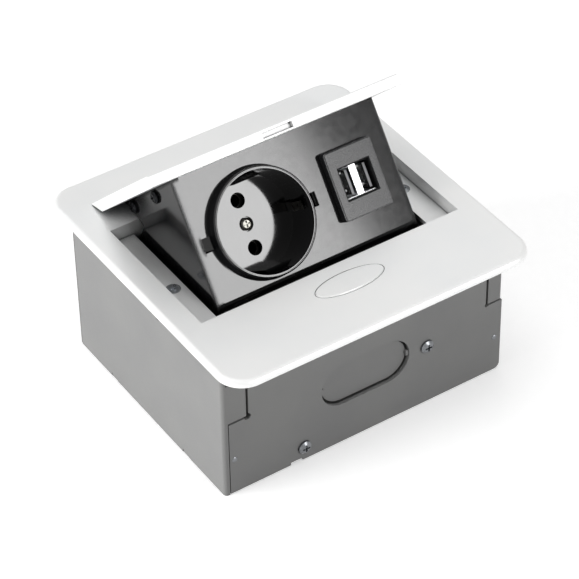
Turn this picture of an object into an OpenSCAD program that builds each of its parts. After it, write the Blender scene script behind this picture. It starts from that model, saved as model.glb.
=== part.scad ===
// Pop-up power module that is let into a desk top: a metal box below the desk, an aluminium
// frame on top of it, and a sprung tray with a mains socket and two USB ports under a hinged lid.
// Millimetres. The origin is the middle of the box's underside, below the centre of the frame.
// The lid's front edge is on the -Y side. The tray is drawn open, as the push button leaves it.

/* [Frame] */
// Width of the frame along X
frame_w = 136.5; // [132:0.5:150]
// Depth of the frame along Y
frame_d = 135; // [132:0.5:150]
// Thickness of the frame's flange, which lies on the desk
frame_t = 2.6; // [2.4:0.1:4]
// Corner radius of the frame seen from above
frame_corner_r = 11; // [6:0.5:16]
// Radius of the rounded upper edge of the flange
frame_edge_r = 2.1; // [1:0.1:2.2]
// Width of the opening along X
opening_w = 115.8; // [112:0.2:117]
// Distance from the frame's centre to the front edge of the opening
opening_front = 30.3; // [30:0.1:31]
// Distance from the frame's centre to the rear edge of the opening
opening_rear = 34.2; // [34:0.1:36]
// Depth of the ledges below the frame's top
ledge_drop = 6.1; // [5.6:0.1:7]
// Width of each ledge
ledge_w = 10.1; // [9:0.1:10.4]
// Thickness of the ledges
ledge_t = 2; // [1.6:0.1:2.4]
// Wall around the opening, below the flange
skirt_t = 1.7; // [1.2:0.1:2]
// Diameter of the ledge screws
ledge_screw_d = 3; // [2.5:0.1:3.5]
// Distance of the ledge screws in front of the frame's centre
ledge_screw_y = 1.9; // [0:0.1:6]

/* [Box] */
// Width of the sheet metal box
box_w = 127.6; // [126:0.2:130]
// Depth of the sheet metal box
box_d = 106.8; // [105:0.2:110]
// How far the box lies behind the frame's centre
box_shift = 1.2; // [0.8:0.1:1.6]
// Height of the box from its underside to the frame's flange
box_h = 65; // [64:0.5:90]
// Thickness of the box sheet
sheet_t = 1.4; // [1:0.1:1.6]
// Bend radius at the upright corners of the box
sheet_bend_r = 1.6; // [1.4:0.1:2]
// Gap between neighbouring panels
panel_gap = 0.3; // [0.2:0.05:0.5]
// Height of the corner tabs at the top of the side panels
tab_h = 29; // [20:0.5:34]
// Width of the gap beside a corner tab
tab_gap = 1; // [0.6:0.1:1.6]
// Width of the left-hand corner tab
tab_left_w = 10.2; // [8:0.2:12]
// Width of the right-hand corner tab
tab_right_w = 6.8; // [6:0.2:12]
// Width of the flanges behind the panels
flange_w = 11; // [9:0.5:14]
// Width of the knock-out in the front panel
knockout_w = 40.2; // [34:0.2:44]
// Height of the knock-out
knockout_h = 20.1; // [14:0.1:22]
// Height of the knock-out's centre above the underside
knockout_z = 29.5; // [26:0.5:34]
// Width of the cut around the knock-out
knockout_cut = 0.9; // [0.5:0.1:1.2]
// How far the knock-out blank is set back
knockout_inset = 1.7; // [0.8:0.1:2]
// Width of the two bridges that hold the knock-out blank
bridge_w = 2.6; // [2:0.1:4]
// Distance of the two panel screws from the middle
panel_screw_x = 28.2; // [26:0.2:34]
// Height of the lower panel screw above the underside
panel_screw_low = 6.8; // [6:0.1:8]
// Diameter of the panel screws
panel_screw_d = 3; // [2.6:0.1:4]
// Diameter of the rivet shanks
rivet_d = 1.6; // [1.4:0.1:2.4]
// Height of the rivets above the underside
rivet_z = 17; // [15:0.5:24]

/* [Lid and hinge] */
// Angle of the open lid above its closed place
open_angle = 43.3; // [42:0.1:43.8]
// Thickness of the lid plate
lid_t = 4.5; // [4:0.1:4.6]
// Depth of the lid from its front edge to its rear edge
lid_d = 61.2; // [60.4:0.1:61.4]
// Gap between the closed lid and the front edge of the opening
lid_gap_front = 0.5; // [0.4:0.1:0.9]
// Gap between the lid and each side of the opening
lid_gap_side = 2.4; // [1:0.1:3]
// Thickness of the lid's rear edge, below which it is cut away
lid_edge_t = 0.35; // [0.3:0.05:0.5]
// Depth of the sloped cut under the lid's rear edge
lid_slope_d = 7; // [6.6:0.1:8]
// Distance of the hinge axis behind the frame's centre
hinge_y = 42.3; // [42.2:0.1:43]
// Depth of the hinge axis below the frame's top
hinge_drop = 25.4; // [25.2:0.1:26]
// Diameter of the hinge pins
pin_d = 4; // [3:0.1:5]
// Running clearance around the hinge pins, on the radius
pin_fit = 0.06; // [0.03:0.01:0.09]
// Radius of the tray's hinge lugs
lug_r = 8.6; // [7.5:0.1:9]
// Thickness of the hinge brackets
bracket_t = 1.4; // [1.2:0.1:2]
// Radius at which the torsion springs hold the tray
spring_arm_r = 12.3; // [11.6:0.1:13]
// Wire diameter of the torsion springs
spring_wire = 1.2; // [0.8:0.1:1.3]
// Number of full turns of the torsion springs
spring_turns = 4; // [3:1:4]

/* [Tray] */
// Width of the tray across its cheeks
tray_w = 90.8; // [90:0.2:91]
// Thickness of the tray sheet
tray_t = 1.2; // [1:0.1:1.4]
// Length of the sloping face from the lid to its lower bend
face_len = 52.9; // [52:0.1:53.2]
// Lean of the face from upright when the tray is closed
face_lean = 6.4; // [5:0.1:6.6]
// Distance from the lid's front edge to the face
face_setback = 5.95; // [5.9:0.05:7]
// Outer radius of the bends at the sides of the face
face_bend_r = 1.7; // [1.5:0.1:2.2]
// Outer radius of the lower bend
lower_bend_r = 3.6; // [2.4:0.1:4]
// Depth of the closed space behind the face, at its top
tray_depth = 38; // [37.4:0.1:38.2]
// Thickness of the rear cover
cover_t = 1.5; // [1.2:0.1:2]
// Height of the ribs under the lid that carry the cheeks
rib_h = 5.6; // [5:0.1:5.8]
// Width of those ribs
rib_w = 3.4; // [3:0.1:5]
// Diameter of the screws through the cheeks
cheek_screw_d = 3; // [2.5:0.1:3.2]
// Radius of the cable inlet in the rear cover
inlet_r = 5.2; // [4:0.1:6]

/* [Socket] */
// Socket centre left of the middle of the tray
socket_x = 16.9; // [16.5:0.1:18]
// Socket centre below the top of the face
socket_s = 27.3; // [27:0.1:28]
// Height of the socket ring above the face
ring_h = 4.8; // [4:0.1:5]
// Outer radius of the ring where it meets the face
ring_r = 21.9; // [21.4:0.1:22]
// Radius of the plug recess
recess_r = 19.7; // [19.5:0.1:20]
// Depth of the plug recess below the ring
recess_depth = 17.5; // [17:0.1:18]
// Distance between the two pin holes
pin_spacing = 19; // [18.6:0.1:19.4]
// Radius of the pin holes in the floor of the recess
pin_hole_r = 3; // [2.8:0.05:3.1]
// Inner radius of the contact sleeves
sleeve_r = 2.45; // [2.42:0.01:2.5]
// Wall of the contact sleeves
sleeve_t = 0.8; // [0.6:0.05:0.9]
// Length of the contact sleeves
sleeve_len = 12; // [10:0.5:13]
// Width of the guide ribs in the recess
guide_w = 15; // [10:0.2:16]
// Distance of each guide rib from the socket's centre
guide_at = 16.9; // [16.6:0.1:17.4]
// Width of the earth clips
earth_w = 3.4; // [3:0.1:4.6]
// Thickness of the earth clips
earth_t = 0.8; // [0.6:0.05:0.9]
// Width and depth of the block behind the socket
base_w = 36; // [35:0.5:37]
// Length of the block behind the socket
base_len = 16; // [15:0.5:16]

/* [USB] */
// Centre of the USB block right of the middle of the tray
usb_x = 25.7; // [25.5:0.1:26.5]
// Centre of the USB block below the top of the face
usb_s = 26.4; // [25:0.1:27]
// Width of the USB block
usb_w = 21.6; // [21:0.1:22.4]
// Height of the USB block along the face
usb_l = 27.4; // [26:0.1:29]
// Height of the USB block above the face
usb_h = 3.8; // [3:0.1:4]
// Corner radius of the USB block
usb_corner_r = 1.2; // [0.8:0.1:2]
// Wall of the USB block
usb_wall = 1.4; // [1:0.1:1.6]
// Width of the cut-out for the ports
port_w = 14.6; // [14.2:0.1:15]
// Height of the cut-out for the ports
port_l = 13.2; // [12.8:0.1:13.6]
// Depth of the two ports
port_depth = 12; // [10:0.5:13]
// Width of the bar between the two ports
port_bar = 2.9; // [2.4:0.1:3.2]
// Distance from the block's face to the front of the ports
port_drop = 2; // [1.4:0.1:2.4]
// Thickness of the tongue in each port
tongue_t = 1.1; // [0.9:0.1:1.6]
// Depth of the USB block behind the face
usb_case_depth = 26; // [24:0.5:28]

/* [Button and latch] */
// Half length of the oval button
button_a = 15; // [13:0.1:16]
// Half width of the oval button
button_b = 5.45; // [5.2:0.05:5.5]
// Distance of the button in front of the frame's centre
button_y = 41.5; // [41.4:0.1:41.8]
// Gap around the button
button_gap = 0.25; // [0.2:0.01:0.35]
// Height of the button above the frame
button_proud = 0.4; // [0.2:0.1:0.8]
// Travel of the button, and of the latch bolt with it
button_travel = 2; // [1.6:0.1:2]
// Width of the latch bolt's nose
nose_w = 12; // [8:0.2:12.4]
// Thickness of the latch bolt's nose
nose_t = 1.9; // [1.6:0.05:2]
// Reach of the latch bolt into the opening
nose_reach = 1.5; // [1:0.1:1.6]

/* [Hidden] */
$fn = 48;
// Overlap that makes a cut run past the face it goes through
eps = 0.02;
// Clearance between pieces that are laid against each other with play
play = 0.2;

// Levels of the frame
top_z = box_h + frame_t;
ledge_z = top_z - ledge_drop;
skirt_z = ledge_z - ledge_t;

// Plan of the box
box_front = box_shift - box_d / 2;
box_rear = box_shift + box_d / 2;
tab_z = box_h - tab_h;

// Closed place of the lid; the pieces of the tray are drawn there and then swung open
lid_w = opening_w - 2 * lid_gap_side;
lid_front = -opening_front + lid_gap_front;
lid_rear = lid_front + lid_d;
lid_z = top_z - lid_t;
hinge_z = top_z - hinge_drop;
// Radius about the hinge that the rear edge of the opening sweeps past the tray
rim_r = norm([hinge_y - opening_rear, hinge_drop]);
// Angle down to which the opened tray needs room for the wall behind the opening
rim_stop = 180 - atan((hinge_drop - (top_z - skirt_z)) / (hinge_y - opening_rear)) + open_angle;

// Profile of the tray, as [y, z] with the lid closed
face_y = lid_front + face_setback;
face_foot = [face_y + face_len * sin(face_lean), lid_z - face_len * cos(face_lean)];
cover_y = face_y + tray_depth;
cheek_in = tray_w / 2 - tray_t;
rib_z = lid_z - rib_h;
cheek_screw_z = lid_z - rib_h / 2 - 0.3;
cheek_screw_y = [face_y + 18.4, face_y + 41.4];

// Socket levels, measured out of the face
floor_h = ring_h - recess_depth;
floor_t = 2.2;
base_top = floor_h - floor_t;
base_back = base_top - base_len;

lug_reach = ring_r + 3.3;
lug_w = 5.4;
terminal_w = 6;
terminal_len = 8;
earth_x = 10.5;

// Places along X of the hinge, on each side
bracket_in = opening_w / 2 - ledge_w + 0.1;
bracket_out = bracket_in + bracket_t;
ledge_screw_x = opening_w / 2 - ledge_w / 2 - 0.4;
coil_r = pin_d / 2 + spring_wire / 2 + 1.1;
coil_pitch = spring_wire + 0.3;
coil_start = bracket_out + spring_wire / 2 + 0.4;
anchor_r = coil_r + spring_wire + 2.6;
clip_x = coil_start + coil_pitch * (spring_turns + 0.7) + spring_wire + 0.6;

// Latch levels, as heights above the box's underside
cap_low = top_z - 2.2;
nose_z = top_z - 1.5 - nose_t;
carriage_z = top_z - 14.2;
latch_floor = top_z - 18;
housing_z = latch_floor - 1.5;
housing_front = box_front + sheet_t + 0.6;
housing_rear = -opening_front - skirt_t - 0.4;
housing_half = 18;
wedge_half = 3.6;
post_x = 10;
post_r = 1.6;

// Flat profiles

// Rectangle with round corners, centred
module round_rect(w, d, r) {
    square([w - 2 * r, d], center = true);
    square([w, d - 2 * r], center = true);
    for (x = [-1, 1], y = [-1, 1]) translate([x * (w / 2 - r), y * (d / 2 - r)]) circle(r);
}

// Slot with round ends, centred, long side along X
module obround(w, h) {
    square([w - h, h], center = true);
    for (x = [-1, 1]) translate([x * (w - h) / 2, 0]) circle(h / 2);
}

// Oval with half axes a and b
module oval(a, b) {
    polygon([for (i = [0:63]) [a * cos(i * 360 / 64), b * sin(i * 360 / 64)]]);
}

// Part of a disc between two angles and two radii
module ring_sector(r_in, r_out, from, to) {
    steps = 12;
    far = r_out * 1.2;
    intersection() {
        difference() {
            circle(r_out);
            circle(r_in);
        }
        polygon(concat([[0, 0]],
            [for (i = [0:steps]) let (a = from + (to - from) * i / steps) far * [cos(a), sin(a)]]));
    }
}

// Solids that several pieces share

// Slab with round corners and a rounded upper edge
module edge_slab(w, d, t, r, edge) {
    steps = 6;
    round_edge = [for (i = [0:steps]) let (a = 90 * i / steps)
        [r - edge + edge * cos(a), t - edge + edge * sin(a)]];
    section = concat([[0, 0], [r, 0]], round_edge, [[0, t]]);
    linear_extrude(t) square([w - 2 * r, d - 2 * r], center = true);
    for (x = [-1, 1], y = [-1, 1])
        translate([x * (w / 2 - r), y * (d / 2 - r), 0]) rotate_extrude() polygon(section);
    for (side = [0, 180]) {
        rotate([0, 0, side]) translate([w / 2 - r, d / 2 - r, 0])
            rotate([90, 0, 0]) linear_extrude(d - 2 * r) polygon(section);
        rotate([0, 0, side + 90]) translate([d / 2 - r, w / 2 - r, 0])
            rotate([90, 0, 0]) linear_extrude(w - 2 * r) polygon(section);
    }
}

// Extrudes a profile drawn as [y, z] along X, from x0 to x1
module along_x(x0, x1) {
    translate([x0, 0, 0]) rotate([90, 0, 90]) linear_extrude(x1 - x0) children();
}

// Cross recess in a screw head, pointing down from the origin
module cross_cut(size, depth) {
    for (a = [0, 90]) rotate([0, 0, a])
        translate([-size / 2, -size / 9, -depth]) cube([size, size / 4.5, depth + eps]);
}

// Countersunk screw, its head's top at the origin, pointing down
module flat_screw(d, len) {
    difference() {
        union() {
            translate([0, 0, -0.3]) cylinder(h = 0.3, r = d * 0.92);
            translate([0, 0, -0.3 - d * 0.42]) cylinder(h = d * 0.42, r1 = d / 2, r2 = d * 0.92);
            translate([0, 0, -len]) cylinder(h = len - d * 0.4, r = d / 2);
        }
        cross_cut(d * 1.1, d * 0.3);
    }
}

// Seat for such a screw, with a little room around the head
module flat_screw_seat(d, len) {
    translate([0, 0, -0.3]) cylinder(h = 1, r = d * 0.92 + 0.1);
    translate([0, 0, -0.3 - d * 0.42]) cylinder(h = d * 0.42, r1 = d / 2 + 0.1, r2 = d * 0.92 + 0.1);
    translate([0, 0, -len]) cylinder(h = len, r = d / 2 + 0.08);
}

// Pan-head screw, its head's underside at the origin, pointing down
module pan_screw(d, len) {
    head_r = d * 0.95;
    head_h = d * 0.55;
    difference() {
        union() {
            cylinder(h = head_h * 0.5, r = head_r);
            translate([0, 0, head_h * 0.5]) cylinder(h = head_h * 0.5, r1 = head_r, r2 = head_r * 0.62);
            translate([0, 0, -len]) cylinder(h = len + eps, r = d / 2);
        }
        translate([0, 0, head_h]) cross_cut(d * 1.05, d * 0.3);
    }
}

// Swings what is drawn with the lid closed to its open place
module opened() {
    translate([0, hinge_y, hinge_z]) rotate([-open_angle, 0, 0])
        translate([0, -hinge_y, -hinge_z]) children();
}

// Frame of the tray's face: X across, Y up the face, Z out of it, origin at the top edge
module on_face() {
    opened() translate([0, face_y, lid_z]) rotate([90 + face_lean, 0, 0]) children();
}

module at_socket() {
    on_face() translate([-socket_x, -socket_s, 0]) children();
}

module at_usb() {
    on_face() translate([usb_x, -usb_s, 0]) children();
}

// Wire along a path: a ring of points about each path point, joined by quads
function unit(v) = v / norm(v);
function path_dir(p, i) = unit(p[min(i + 1, len(p) - 1)] - p[max(i - 1, 0)]);
function next_side(side, dir) = unit(side - (side * dir) * dir);
function path_sides(p, i, sides) = i == len(p) ? sides
    : path_sides(p, i + 1, concat(sides, [next_side(sides[i - 1], path_dir(p, i))]));
module wire(p, r, n, side0) {
    sides = path_sides(p, 1, [next_side(side0, path_dir(p, 0))]);
    pts = [for (i = [0:len(p) - 1]) let (d = path_dir(p, i), u = sides[i], v = cross(d, u))
        for (k = [0:n - 1]) p[i] + r * (cos(k * 360 / n) * u + sin(k * 360 / n) * v)];
    walls = [for (i = [0:len(p) - 2], k = [0:n - 1]) let (k2 = (k + 1) % n)
        [i * n + k, (i + 1) * n + k, (i + 1) * n + k2, i * n + k2]];
    first = [for (k = [0:n - 1]) k];
    last = [for (k = [n - 1:-1:0]) (len(p) - 1) * n + k];
    polyhedron(points = pts, faces = concat([first], [last], walls), convexity = 8);
}

// Compression spring standing on the origin, with flat end turns
module coil_spring(r, wire_r, h, turns) {
    steps = 12;
    n = turns * steps;
    p = [for (i = [0:n]) let (t = i / n, z = wire_r + (h - 2 * wire_r) * t)
        [r * cos(360 * i / steps), r * sin(360 * i / steps), z]];
    wire(p, wire_r, 6, [1, 0, 0]);
}

// Frame and its fasteners

module top_frame() color("#f0f0ee") difference() {
    union() {
        translate([0, 0, box_h]) edge_slab(frame_w, frame_d, frame_t, frame_corner_r, frame_edge_r);
        translate([-opening_w / 2 - skirt_t, -opening_front - skirt_t, skirt_z])
            cube([opening_w + 2 * skirt_t, opening_front + opening_rear + 2 * skirt_t, box_h + 1 - skirt_z]);
    }
    // Opening above the ledges, and the narrower one between them
    translate([-opening_w / 2, -opening_front, ledge_z])
        cube([opening_w, opening_front + opening_rear, top_z]);
    translate([-opening_w / 2 + ledge_w, -opening_front, skirt_z - 1])
        cube([opening_w - 2 * ledge_w, opening_front + opening_rear, top_z]);
    translate([0, -button_y, box_h - 1]) linear_extrude(frame_t + 2)
        oval(button_a + button_gap, button_b + button_gap);
    // Channel of the latch bolt
    translate([-nose_w / 2 - 0.6, -button_y + button_b, nose_z - 0.5])
        cube([nose_w + 1.2, button_y - button_b - opening_front + 1, nose_t + 0.8]);
    for (x = [-1, 1]) {
        translate([x * ledge_screw_x, -ledge_screw_y, ledge_z]) flat_screw_seat(ledge_screw_d, 4);
        for (y = frame_screw_y()) translate([x * frame_screw_x(), y, box_h - 1])
            cylinder(h = 3, r = 1.5);
        translate([x * ear_x(), ear_y(), box_h - 1]) cylinder(h = 3, r = 1.25);
    }
}

module ledge_screws() color("#c9ccd0") for (x = [-1, 1])
    translate([x * ledge_screw_x, -ledge_screw_y, ledge_z - 0.05]) flat_screw(ledge_screw_d, 7);

// Screws that hold the panels' top flanges to the frame
function frame_screw_x() = box_w / 2 - 22;
function frame_screw_y() = [box_front + sheet_t + 5, box_rear - sheet_t - 5];
module frame_screws() color("#b9bcc0") for (x = [-1, 1], y = frame_screw_y())
    translate([x * frame_screw_x(), y, box_h - sheet_t]) rotate([180, 0, 0]) pan_screw(2.9, sheet_t + 1.8);

// Sheet metal box

// Prism of the box's plan, which rounds the panels' upright corners
module box_prism() {
    translate([0, box_shift, 0]) linear_extrude(box_h) round_rect(box_w, box_d, sheet_bend_r);
}

// Left-hand panel; its front edge covers the front panel's end, with a corner tab at the top
module side_panel(tab_w) {
    x0 = -box_w / 2;
    lap = 2.2;
    inner = box_front + sheet_t + panel_gap / 2;
    intersection() {
        box_prism();
        difference() {
            union() {
                translate([x0, box_front, 0]) cube([sheet_t, box_d - sheet_t - panel_gap, box_h]);
                translate([x0, box_front, tab_z]) cube([tab_w, sheet_t, tab_h]);
                // Front flange, set back behind the front panel
                translate([x0, box_front, 0]) cube([lap, 2 * sheet_t + panel_gap / 2, tab_z]);
                translate([x0, inner, 3]) cube([flange_w, sheet_t, tab_z - 6]);
                // Rear flange, in front of the rear panel
                translate([x0, box_rear - 2 * sheet_t - panel_gap, 3]) cube([flange_w, sheet_t, box_h - 6]);
            }
            // Rivet holes
            for (y = [box_front, box_rear]) translate([x0 + rivet_in(), y, rivet_z])
                rotate([90, 0, 0]) cylinder(h = 12, r = rivet_d / 2 + 0.05, center = true);
            // Slots for the bottom panel's tabs
            for (y = bottom_tab_y()) translate([x0 - 1, y - bottom_tab_w() / 2 - panel_gap / 2, -1])
                cube([sheet_t + 2, bottom_tab_w() + panel_gap, sheet_t + 1 + panel_gap / 2]);
            // Small slot beside the bend of the corner tab, and the hole below the frame
            translate([x0 + 1.6, box_front - 1, box_h - 10.5]) cube([1, sheet_t + 2, 3.4]);
            translate([x0 - 1, -8.4, box_h - 7.6]) rotate([0, 90, 0]) cylinder(h = sheet_t + 2, r = 1);
        }
    }
}

// Distance of the rivets from the side; the right-hand front one lies closer to it
function rivet_in() = 4.6;
function rivet_in_near() = 3;
function bottom_tab_w() = 4;
function bottom_tab_y() = [box_shift - box_d / 4 + 1, box_shift + box_d / 4];

module left_panel() color("#8f9092") side_panel(tab_left_w);

// Right-hand panel: it stops behind the front panel and wraps the rear one, with a front tab too
module right_panel() color("#8f9092") {
    x1 = box_w / 2;
    inner = box_front + sheet_t + panel_gap / 2;
    intersection() {
        box_prism();
        difference() {
            union() {
                translate([x1 - sheet_t, inner, 0]) cube([sheet_t, box_rear - inner, box_h]);
                translate([x1 - tab_right_w, box_front, tab_z]) cube([tab_right_w, sheet_t, tab_h]);
                translate([x1 - sheet_t, box_front, tab_z]) cube([sheet_t, sheet_t + 1, tab_h]);
                translate([x1 - flange_w, inner, 3]) cube([flange_w, sheet_t, tab_z - 6]);
                translate([x1 - 2.2, box_rear - 2 * sheet_t - panel_gap / 2, 0])
                    cube([2.2, 2 * sheet_t + panel_gap / 2, box_h]);
                translate([x1 - flange_w, box_rear - 2 * sheet_t - panel_gap / 2, 3])
                    cube([flange_w, sheet_t, box_h - 6]);
            }
            for (p = [[rivet_in_near(), box_front], [rivet_in(), box_rear]])
                translate([x1 - p[0], p[1], rivet_z]) rotate([90, 0, 0])
                    cylinder(h = 12, r = rivet_d / 2 + 0.05, center = true);
            for (y = bottom_tab_y()) translate([x1 - sheet_t - 1, y - bottom_tab_w() / 2 - panel_gap / 2, -1])
                cube([sheet_t + 2, bottom_tab_w() + panel_gap, sheet_t + 1 + panel_gap / 2]);
            translate([x1 + 1, -8.4, box_h - 7.6]) rotate([0, -90, 0]) cylinder(h = sheet_t + 2, r = 1);
        }
    }
}

// Outline of the front panel seen from the front, with notches for the corner tabs
module front_outline() {
    left = -box_w / 2 + 2.2 + panel_gap;
    right = box_w / 2;
    difference() {
        union() {
            translate([left, panel_gap]) square([right - left - 2.5, box_h - panel_gap]);
            translate([left, panel_gap + 2.5]) square([right - left, box_h - panel_gap - 2.5]);
            translate([right - 2.5, panel_gap + 2.5]) circle(2.5);
        }
        translate([-box_w / 2 - 1, tab_z - tab_gap]) square([tab_left_w + tab_gap + 1, box_h]);
        translate([-box_w / 2 + tab_left_w + tab_gap / 2, tab_z - tab_gap / 2]) circle(1.5);
        translate([box_w / 2 - tab_right_w - tab_gap, tab_z - tab_gap]) square([tab_right_w + tab_gap + 1, box_h]);
        translate([box_w / 2 - tab_right_w - tab_gap / 2, tab_z - tab_gap / 2]) circle(1);
        translate([bottom_slot_x() - 2.7, -1]) square([5.4, 1 + panel_gap + 1.2]);
    }
}

function bottom_slot_x() = -panel_screw_x - 3.4;

module front_panel() color("#77787a") {
    translate([0, box_front + sheet_t, 0]) rotate([90, 0, 0]) linear_extrude(sheet_t) difference() {
        front_outline();
        translate([0, knockout_z]) obround(knockout_w, knockout_h);
        for (p = panel_screws_at()) translate(p) circle(panel_screw_d / 2 + 0.1);
        for (x = [rivet_in() - box_w / 2, box_w / 2 - rivet_in_near()])
            translate([x, rivet_z]) circle(rivet_d / 2 + 0.05);
    }
    // Knock-out blank, set back a little and held by two bridges
    translate([0, box_front + sheet_t + knockout_inset, knockout_z]) rotate([90, 0, 0])
        linear_extrude(sheet_t) obround(knockout_w - 2 * knockout_cut, knockout_h - 2 * knockout_cut);
    for (x = [-1, 1])
        translate([x * (knockout_w / 2 - knockout_cut / 2) - knockout_cut / 2 - 0.3, box_front + 0.5,
            knockout_z - bridge_w / 2])
            cube([knockout_cut + 0.6, knockout_inset + 0.3, bridge_w]);
    // Top flange that the frame screws pass through
    top_flange(box_front + sheet_t - eps, 9);
}

// Flange turned inwards at the top of the front and rear panels
module top_flange(y, depth) {
    w = box_w - 2 * (tab_left_w + tab_gap) - 2;
    difference() {
        translate([-w / 2, min(y, y + depth), box_h - sheet_t]) cube([w, abs(depth), sheet_t]);
        translate([-housing_half - 10, -opening_rear, box_h - sheet_t - 1])
            mirror([0, 1, 0]) cube([2 * housing_half + 20, 60, 3]);
        for (x = [-1, 1], yy = frame_screw_y()) translate([x * frame_screw_x(), yy, box_h - 3])
            cylinder(h = 4, r = 1.6);
    }
}

// Two screws through the front panel, as [x, z]: the right one beside the knock-out, the left one low
function panel_screws_at() = [[panel_screw_x, knockout_z - 0.5], [-panel_screw_x, panel_screw_low]];

module rear_panel() color("#77787a") {
    left = -box_w / 2;
    right = box_w / 2 - 2.2 - panel_gap;
    intersection() {
        translate([0, box_shift, 0]) linear_extrude(box_h) round_rect(box_w, box_d, sheet_bend_r);
        difference() {
            translate([left, box_rear - sheet_t, panel_gap]) cube([right - left, sheet_t, box_h - panel_gap]);
            for (x = [-1, 1]) translate([x * (box_w / 2 - rivet_in()), box_rear, rivet_z])
                rotate([90, 0, 0]) cylinder(h = 12, r = rivet_d / 2 + 0.05, center = true);
        }
    }
    top_flange(box_rear - sheet_t + eps, -9);
}

// Floor of the box, with tabs in the side panels' slots and a turned-up edge behind the front panel
module bottom_panel() color("#8a8b8d") {
    half = box_w / 2 - sheet_t - panel_gap / 2;
    front = box_front + 2 * sheet_t + panel_gap;
    rear = box_rear - 2 * sheet_t - 2 * panel_gap;
    difference() {
        union() {
            translate([-half, front, 0]) cube([2 * half, rear - front, sheet_t]);
            for (x = [-1, 1], y = bottom_tab_y())
                translate([x > 0 ? half - 1 : -half - sheet_t, y - bottom_tab_w() / 2, 0])
                    cube([sheet_t + 1, bottom_tab_w(), sheet_t]);
            translate([-edge_half(), box_front + sheet_t + panel_gap / 2, 0])
                cube([2 * edge_half(), sheet_t, 11]);
            translate([-edge_half(), box_front + sheet_t + panel_gap / 2, 0])
                cube([2 * edge_half(), 2 * sheet_t, sheet_t]);
            translate([-edge_half(), box_rear - 2 * sheet_t - panel_gap / 2, 0])
                cube([2 * edge_half(), sheet_t, 11]);
            translate([-edge_half(), box_rear - 3 * sheet_t - panel_gap, 0])
                cube([2 * edge_half(), 2 * sheet_t, sheet_t]);
        }
        translate([-panel_screw_x, box_front, panel_screw_low]) rotate([90, 0, 0])
            cylinder(h = 10, r = panel_screw_d / 2 + 0.1, center = true);
    }
}

function edge_half() = box_w / 2 - flange_w - 2;

module panel_screws() color("#a8abad") for (p = panel_screws_at())
    translate([p[0], box_front, p[1]]) rotate([90, 0, 0]) pan_screw(panel_screw_d, 7);

// Square nuts behind the front panel
module panel_nuts() color("#b5b8ba") for (i = [0, 1]) let (p = panel_screws_at()[i])
    translate([p[0], box_front + sheet_t + i * (sheet_t + panel_gap / 2), p[1]]) rotate([-90, 0, 0])
        difference() {
            translate([-2.9, -2.9, 0]) cube([5.8, 5.8, 2.2]);
            translate([0, 0, -1]) cylinder(h = 5, r = panel_screw_d / 2 + 0.05);
        }

// Rivets with domed heads that join the panels to the flanges
module panel_rivets() color("#7d7e80") for (x = [-1, 1], side = [0, 1])
    translate([x * (box_w / 2 - (x > 0 && side == 0 ? rivet_in_near() : rivet_in())),
        side ? box_rear : box_front, rivet_z])
        rotate([side ? -90 : 90, 0, 0]) {
            cylinder(h = 0.35, r1 = rivet_d * 0.8, r2 = rivet_d * 0.55);
            translate([0, 0, -2 * sheet_t - panel_gap]) cylinder(h = 2 * sheet_t + panel_gap + eps, r = rivet_d / 2);
            translate([0, 0, -2 * sheet_t - panel_gap - 0.5]) cylinder(h = 0.5, r = rivet_d * 0.75);
        }

// Hinge

// Folded bracket under the left ledge, with the hole of the hinge pin
module bracket() {
    low = hinge_z - 9;
    difference() {
        union() {
            along_x(-bracket_out, -bracket_in) polygon([[-14, skirt_z], [opening_rear + skirt_t, skirt_z],
                [hinge_y + 8.5, hinge_z + 8], [hinge_y + 8.5, hinge_z - 5], [hinge_y + 4, low],
                [hinge_y - 12, low], [-14, skirt_z - 9]]);
            translate([-opening_w / 2 + 0.5, -14, skirt_z - bracket_t])
                cube([opening_w / 2 - 0.5 - bracket_in, 26, bracket_t]);
        }
        translate([-ledge_screw_x, -ledge_screw_y, skirt_z - 5]) cylinder(h = 10, r = ledge_screw_d / 2 + 0.05);
        translate([-bracket_out - 1, hinge_y, hinge_z]) rotate([0, 90, 0]) cylinder(h = 4, r = pin_d / 2 + 0.03);
        // Arc slot of the spring's moving end, and the hole of its fixed end
        along_x(-bracket_out - 1, -bracket_in + 1) translate([hinge_y, hinge_z])
            ring_sector(spring_arm_r - spring_wire / 2 - 0.5, spring_arm_r + spring_wire / 2 + 0.5,
                arm_angle() - open_angle - 8, arm_angle() + 8);
        translate([-bracket_out - 1, hinge_y, hinge_z - anchor_r]) rotate([0, 90, 0])
            cylinder(h = 4, r = spring_wire / 2 + 0.15);
    }
}

// Angle about the hinge, with the lid closed, at which the spring holds the tray
function arm_angle() = 174;

module hinge_bracket_left() color("#7c7f83") bracket();
module hinge_bracket_right() color("#7c7f83") mirror([1, 0, 0]) bracket();

// Hinge pin with a head inside the tray's cheek and a groove for its clip
module hinge_pin() translate([0, hinge_y, hinge_z]) rotate([0, -90, 0]) difference() {
    union() {
        translate([0, 0, cheek_in - 1.7]) cylinder(h = 1.6, r = pin_d / 2 + 1.6);
        translate([0, 0, cheek_in - 0.2]) cylinder(h = clip_x + 2 - cheek_in, r = pin_d / 2);
    }
    translate([0, 0, clip_x]) difference() {
        cylinder(h = 0.9, r = pin_d);
        translate([0, 0, -1]) cylinder(h = 3, r = pin_d / 2 - 0.5);
    }
}
module hinge_pin_left() color("#aeb1b5") hinge_pin();
module hinge_pin_right() color("#aeb1b5") mirror([1, 0, 0]) hinge_pin();

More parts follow.
